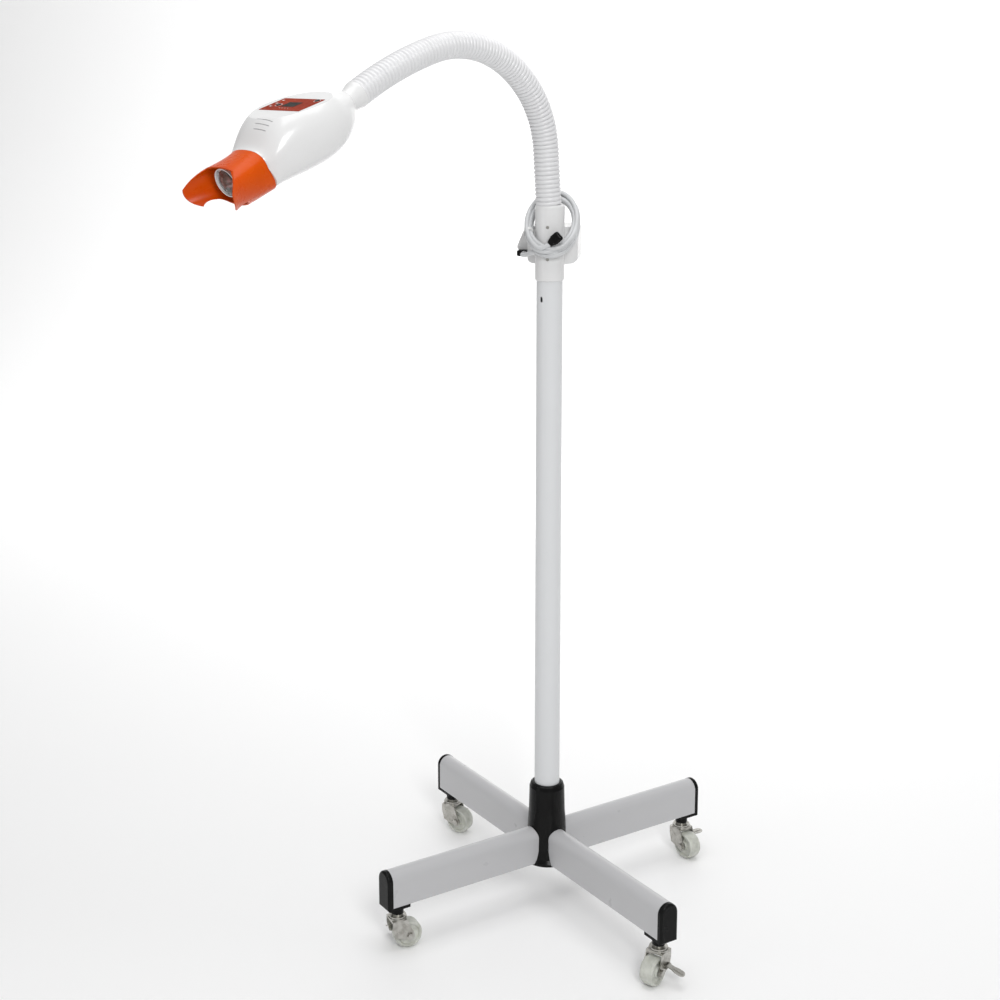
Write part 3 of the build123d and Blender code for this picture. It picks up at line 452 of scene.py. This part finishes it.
# ------------------------------------------------------------------ gooseneck
# The neck rises from its seat, leans by a few degrees, and then follows three arcs to the head.
NECK_AZIMUTH = radians(-122.0)
NECK_LEAN = radians(4.7)
NECK_SEAT_Z = 1.045
NECK_FOOT_Z = 1.081
NECK_FOOT = 0.078
NECK_ARCS = ((0.145, radians(35.5)), (0.192, radians(63.5)), (0.570, radians(14.6)))
NECK_OUT = Vector((cos(NECK_AZIMUTH), sin(NECK_AZIMUTH), 0))
NECK_SIDE = UP.cross(NECK_OUT)
NECK_R = 0.0185
VALLEY = 0.0022
CREST_POWER = 0.55      # below 1 it makes the crests broad and the valleys narrow
RINGS_PER_JOINT = 7
STEPS_PER_RING = 8
JOINT_COUNT = 12
NECK_LENGTH = NECK_FOOT + sum(radius * turn for radius, turn in NECK_ARCS)
JOINT_STEP = NECK_LENGTH / JOINT_COUNT
HOSE_SIDES = 56
# The collar's rings: how far past the hose's end, and the radius there.
COLLAR_RINGS = (
    (-0.0010, 0.0150),
    (-0.0010, 0.0180),
    (-0.0004, 0.0184),
    (0.0012, 0.0185),
    (0.0030, 0.0182),
    (0.0060, 0.0174),
    (0.0100, 0.0163),
    (0.0150, 0.0154),
    (0.0200, 0.0148),
    (0.0260, 0.0145),
)
COLLAR_SIDES = 72


def neck_at(distance):
    """Point and direction of the neck's centreline, a distance from its foot."""
    lean = NECK_LEAN
    step = min(distance, NECK_FOOT)
    out = (NECK_FOOT_Z - NECK_SEAT_Z) * tan(lean) + step * sin(lean)
    z = NECK_FOOT_Z + step * cos(lean)
    left = distance - step
    for radius, turn in NECK_ARCS:
        arc = min(left, radius * turn)
        end = lean + arc / radius
        out += radius * (cos(lean) - cos(end))
        z += radius * (sin(end) - sin(lean))
        lean = end
        left -= arc
    return NECK_OUT * out + UP * z, NECK_OUT * sin(lean) + UP * cos(lean)


def hose_radius(distance):
    """Round crests with narrow valleys between them."""
    phase = (distance / JOINT_STEP * RINGS_PER_JOINT) % 1.0
    return NECK_R - VALLEY * (1 - sin(pi * phase) ** CREST_POWER)


def make_hose():
    """One length of hose across each joint, from valley to valley, along the neck's rest shape."""
    steps = RINGS_PER_JOINT * STEPS_PER_RING
    for k in range(JOINT_COUNT):
        rings = []
        for row in range(steps + 1):
            distance = JOINT_STEP * (k + row / steps)
            centre, ahead = neck_at(distance)
            rings.append((centre, NECK_SIDE, ahead.cross(NECK_SIDE), hose_radius(distance)))
        piece = finish_piece(tube_mesh(f"hose_{k + 1:02d}", rings, HOSE_SIDES), "white_hose")
        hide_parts(f"neck_segment_{k}" if k else "neck_base")
        joint, ahead = neck_at(JOINT_STEP * (k + 0.5))
        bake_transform(piece)


def make_collar():
    """The smooth tapered sleeve that carries the hose into the head."""
    end, ahead = neck_at(NECK_LENGTH)
    other = ahead.cross(NECK_SIDE)
    rings = [(end + ahead * along, NECK_SIDE, other, radius) for along, radius in COLLAR_RINGS]
    piece = finish_piece(tube_mesh("hose_collar", rings, COLLAR_SIDES), "white_plastic")
    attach(piece, "head")
    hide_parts("neck_collar")


# ------------------------------------------------------------------ head trim
HEAD_AHEAD = 0.0205     # from the hose's end to the head's origin
HEAD_PITCH = radians(23.3)
PANEL_T, PANEL_N = 0.082, 0.037
PANEL_TILT = radians(7.8)
# Heights and places on the control film, from the panel's own origin.
PANEL_TOP = 0.00022
MARK_LOW, MARK_HIGH = PANEL_TOP - 0.0001, PANEL_TOP + 0.00006
BUTTONS = ((0.003, -0.021), (-0.017, 0.029))
BUTTON_RADII = (0.0042, 0.0048)
RING_SIDES = 40
DOT_COUNT, DOT_X, DOT_FIRST_Y, DOT_PITCH = 4, 0.0135, -0.008, 0.0053
DOT_R, DOT_SIDES = 0.0007, 14
BAR_COUNT, BAR_FIRST_X, BAR_PITCH, BAR_Y = 3, -0.014, 0.011, -0.031
BAR_HALF_X, BAR_HALF_Y = 0.0012, 0.0018


def panel_matrix():
    """The control panel's frame, on the head's: X forward, Y to its left, Z out of its top."""
    end, ahead = neck_at(NECK_LENGTH)
    forward = NECK_OUT * cos(HEAD_PITCH) - UP * sin(HEAD_PITCH)
    top = NECK_OUT * sin(HEAD_PITCH) + UP * cos(HEAD_PITCH)
    turn = Matrix((forward, top.cross(forward), top)).transposed().to_4x4()
    head = Matrix.Translation(end + ahead * HEAD_AHEAD) @ turn
    return head @ Matrix.Translation((PANEL_T, 0, PANEL_N)) @ Matrix.Rotation(-PANEL_TILT, 4, "Y")


def make_panel_marks():
    """Generic marks: a ring round each button, a row of dots by the display and a row of bars."""
    plane = panel_matrix()
    marks = []
    for k, place in enumerate(BUTTONS):
        name = f"button_mark_{k + 1}"
        marks.append(ring_mesh(name, plane, place, BUTTON_RADII, MARK_LOW, MARK_HIGH, RING_SIDES))
    for k in range(DOT_COUNT):
        outline = circle(DOT_X, DOT_FIRST_Y + DOT_PITCH * k, DOT_R, DOT_SIDES)
        marks.append(plate_mesh(f"mark_dot_{k + 1}", plane, outline, MARK_LOW, MARK_HIGH))
    for k in range(BAR_COUNT):
        x = BAR_FIRST_X + BAR_PITCH * k
        corners = ((-1, -1), (1, -1), (1, 1), (-1, 1))
        outline = [(x + a * BAR_HALF_X, BAR_Y + b * BAR_HALF_Y) for a, b in corners]
        marks.append(plate_mesh(f"mark_bar_{k + 1}", plane, outline, MARK_LOW, MARK_HIGH))
    for mark in marks:
        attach(finish_piece(mark, "white_plastic"), "head")


# ------------------------------------------------------------------ studio
FLOOR_FRONT_Y, FLOOR_HALF = -7.0, 12.0
BEND_Y, BEND_R, BEND_STEPS = 3.0, 3.0, 24
BACKDROP_TOP = 8.0
# Name, place, the point it is aimed at, size and watts.
LIGHTS = (
    ("key", (1.2, -2.9, 2.5), (-0.1, -0.1, 0.8), (0.9, 1.2), 48),
    ("fill", (-2.4, -2.2, 1.2), (0, 0, 0.7), (0.8, 1.8), 5),
    ("top", (0.1, -0.2, 3.3), (0, 0, 0.0), (2.2, 2.2), 36),
    ("backdrop", (0.0, 2.2, 3.4), (0, 5.6, 1.0), (4.0, 2.0), 150),
)
WORLD_STRENGTH = 0.42


def make_floor():
    """A pale sweep: the floor runs back and curves up into the backdrop."""
    profile = [(FLOOR_FRONT_Y, 0.0), (BEND_Y, 0.0)]
    for k in range(1, BEND_STEPS + 1):
        angle = radians(90 * k / BEND_STEPS)
        profile.append((BEND_Y + BEND_R * sin(angle), BEND_R * (1 - cos(angle))))
    profile.append((BEND_Y + BEND_R, BACKDROP_TOP))
    vertices, faces = [], []
    for y, z in profile:
        vertices += [(-FLOOR_HALF, y, z), (FLOOR_HALF, y, z)]
    for k in range(len(profile) - 1):
        faces.append((2 * k, 2 * k + 1, 2 * k + 3, 2 * k + 2))
    floor = new_mesh("floor", vertices, faces, smooth=True)
    pale = Paint("floor", (0.95, 0.95, 0.95), roughness=0.65)
    pale.vary_roughness(scale=3, spread=0.05)
    floor.data.materials.append(pale.material)


def make_lights():
    """Four soft area lights, and an even white surround."""
    for name, place, target, size, watts in LIGHTS:
        data = bpy.data.lights.new(name, "AREA")
        data.shape = "RECTANGLE"
        data.size, data.size_y = size
        data.energy = watts
        lamp = bpy.data.objects.new(name, data)
        aim = Vector(target) - Vector(place)
        lamp.rotation_euler = aim.to_track_quat("-Z", "Y").to_euler()
        lamp.location = place
        bpy.context.scene.collection.objects.link(lamp)
    world = bpy.data.worlds.new("studio")
    bpy.context.scene.world = world
    world.use_nodes = True
    background = world.node_tree.nodes["Background"]
    background.inputs["Color"].default_value = (1.0, 1.0, 1.0, 1.0)
    background.inputs["Strength"].default_value = WORLD_STRENGTH
    bpy.context.scene.view_settings.view_transform = "Standard"


MATERIALS = make_materials()
make_camera()
paint_frame()
make_cord()
make_hose()
make_collar()
make_panel_marks()
make_floor()
make_lights()
